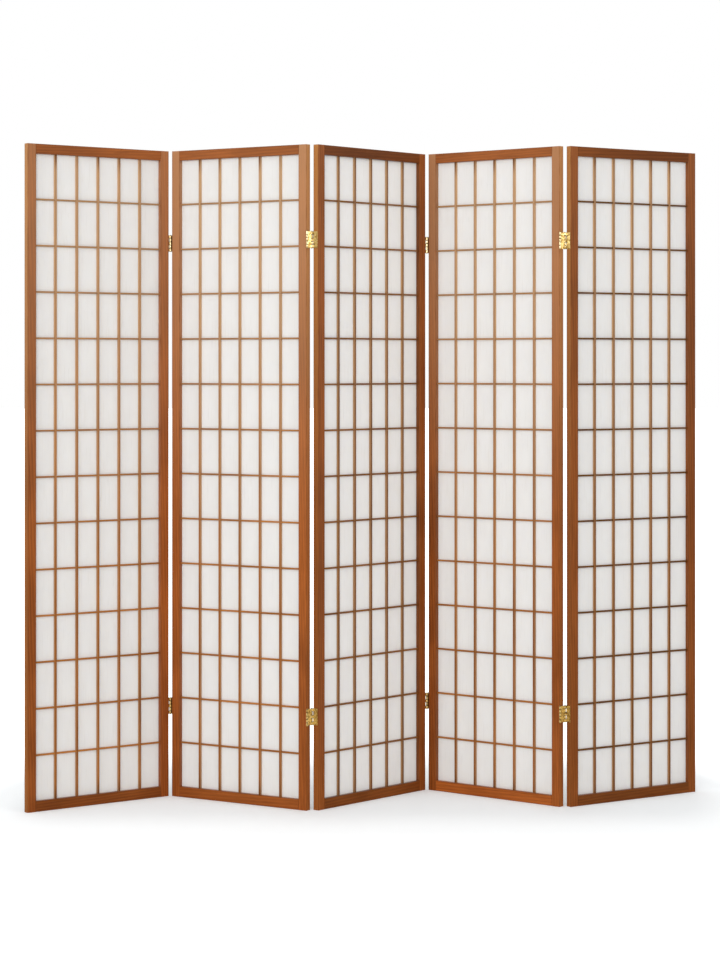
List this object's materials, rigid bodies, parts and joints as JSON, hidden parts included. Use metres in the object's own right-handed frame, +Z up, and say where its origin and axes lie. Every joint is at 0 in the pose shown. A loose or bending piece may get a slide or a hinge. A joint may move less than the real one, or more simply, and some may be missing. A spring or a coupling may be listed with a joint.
{
  "type": "folding screen",
  "caption": "Folding room divider of wooden lattice panels backed with white paper, joined by brass hinges that fold either way, standing in a zigzag.",
  "frame": {"origin": "on the floor, under the middle of the standing screen's box", "axes": "+X along the standing screen to the viewer's right, +Y from the front of the screen to its back, +Z up"},
  "size_m": [1.8342, 0.3856, 1.7844],
  "materials": {
    "frame_wood": "honey-brown stained wood with fine straight grain, satin varnish",
    "lattice_wood": "the same stained wood, in thin bars with sharp edges",
    "paper": "off-white fibrous paper, matt",
    "hinge_brass": "bright plated brass, lightly polished",
    "screw_brass": "brass-plated countersunk screws"
  },
  "bodies": {
    "panel_1": {"stile_left_1": "frame_wood", "stile_right_1": "frame_wood", "rail_top_1": "frame_wood", "rail_bottom_1": "frame_wood", "upright_bars_1": "lattice_wood", "cross_bars_1": "lattice_wood", "paper_1": "paper", "hinge_leaves_1": "hinge_brass", "leaf_screws_1": "screw_brass"},
    "panel_2": {"stile_left_2": "frame_wood", "stile_right_2": "frame_wood", "rail_top_2": "frame_wood", "rail_bottom_2": "frame_wood", "upright_bars_2": "lattice_wood", "cross_bars_2": "lattice_wood", "paper_2": "paper", "hinge_leaves_2": "hinge_brass", "leaf_screws_2": "screw_brass"},
    "panel_3": {"stile_left_3": "frame_wood", "stile_right_3": "frame_wood", "rail_top_3": "frame_wood", "rail_bottom_3": "frame_wood", "upright_bars_3": "lattice_wood", "cross_bars_3": "lattice_wood", "paper_3": "paper", "hinge_leaves_3": "hinge_brass", "leaf_screws_3": "screw_brass"},
    "panel_4": {"stile_left_4": "frame_wood", "stile_right_4": "frame_wood", "rail_top_4": "frame_wood", "rail_bottom_4": "frame_wood", "upright_bars_4": "lattice_wood", "cross_bars_4": "lattice_wood", "paper_4": "paper", "hinge_leaves_4": "hinge_brass", "leaf_screws_4": "screw_brass"},
    "panel_5": {"stile_left_5": "frame_wood", "stile_right_5": "frame_wood", "rail_top_5": "frame_wood", "rail_bottom_5": "frame_wood", "upright_bars_5": "lattice_wood", "cross_bars_5": "lattice_wood", "paper_5": "paper", "hinge_leaves_5": "hinge_brass", "leaf_screws_5": "screw_brass"},
    "link_12": {"hinge_links_12": "hinge_brass", "hinge_pins_12": "hinge_brass"},
    "link_23": {"hinge_links_23": "hinge_brass", "hinge_pins_23": "hinge_brass"},
    "link_34": {"hinge_links_34": "hinge_brass", "hinge_pins_34": "hinge_brass"},
    "link_45": {"hinge_links_45": "hinge_brass", "hinge_pins_45": "hinge_brass"}
  },
  "joints": [
    {"name": "front_pin_34", "type": "hinge", "parent": "panel_3", "child": "link_34", "pos_m": [0.16767, 0.1721, 0.8922], "axis": [0, 0, -1], "range_deg": [-87.1, 92.9]},
    {"name": "back_pin_34", "type": "hinge", "parent": "link_34", "child": "panel_4", "pos_m": [0.18215, 0.18998, 0.8922], "axis": [0, 0, 1], "range_deg": [0, 180]},
    {"name": "front_pin_45", "type": "hinge", "parent": "panel_4", "child": "link_45", "pos_m": [0.51855, -0.11204, 0.8922], "axis": [0, 0, -1], "range_deg": [0, 180]},
    {"name": "back_pin_45", "type": "hinge", "parent": "link_45", "child": "panel_5", "pos_m": [0.53303, -0.09416, 0.8922], "axis": [0, 0, 1], "range_deg": [-72.6, 107.4]},
    {"name": "back_pin_23", "type": "hinge", "parent": "panel_3", "child": "link_23", "pos_m": [-0.15097, -0.14859, 0.8922], "axis": [0, 0, -1], "range_deg": [-80.2, 99.8]},
    {"name": "front_pin_23", "type": "hinge", "parent": "link_23", "child": "panel_2", "pos_m": [-0.1632, -0.16808, 0.8922], "axis": [0, 0, 1], "range_deg": [0, 180]},
    {"name": "back_pin_12", "type": "hinge", "parent": "panel_2", "child": "link_12", "pos_m": [-0.53345, 0.09133, 0.8922], "axis": [0, 0, -1], "range_deg": [0, 180]},
    {"name": "front_pin_12", "type": "hinge", "parent": "link_12", "child": "panel_1", "pos_m": [-0.54567, 0.07185, 0.8922], "axis": [0, 0, 1], "range_deg": [-68.7, 111.3]}
  ]
}
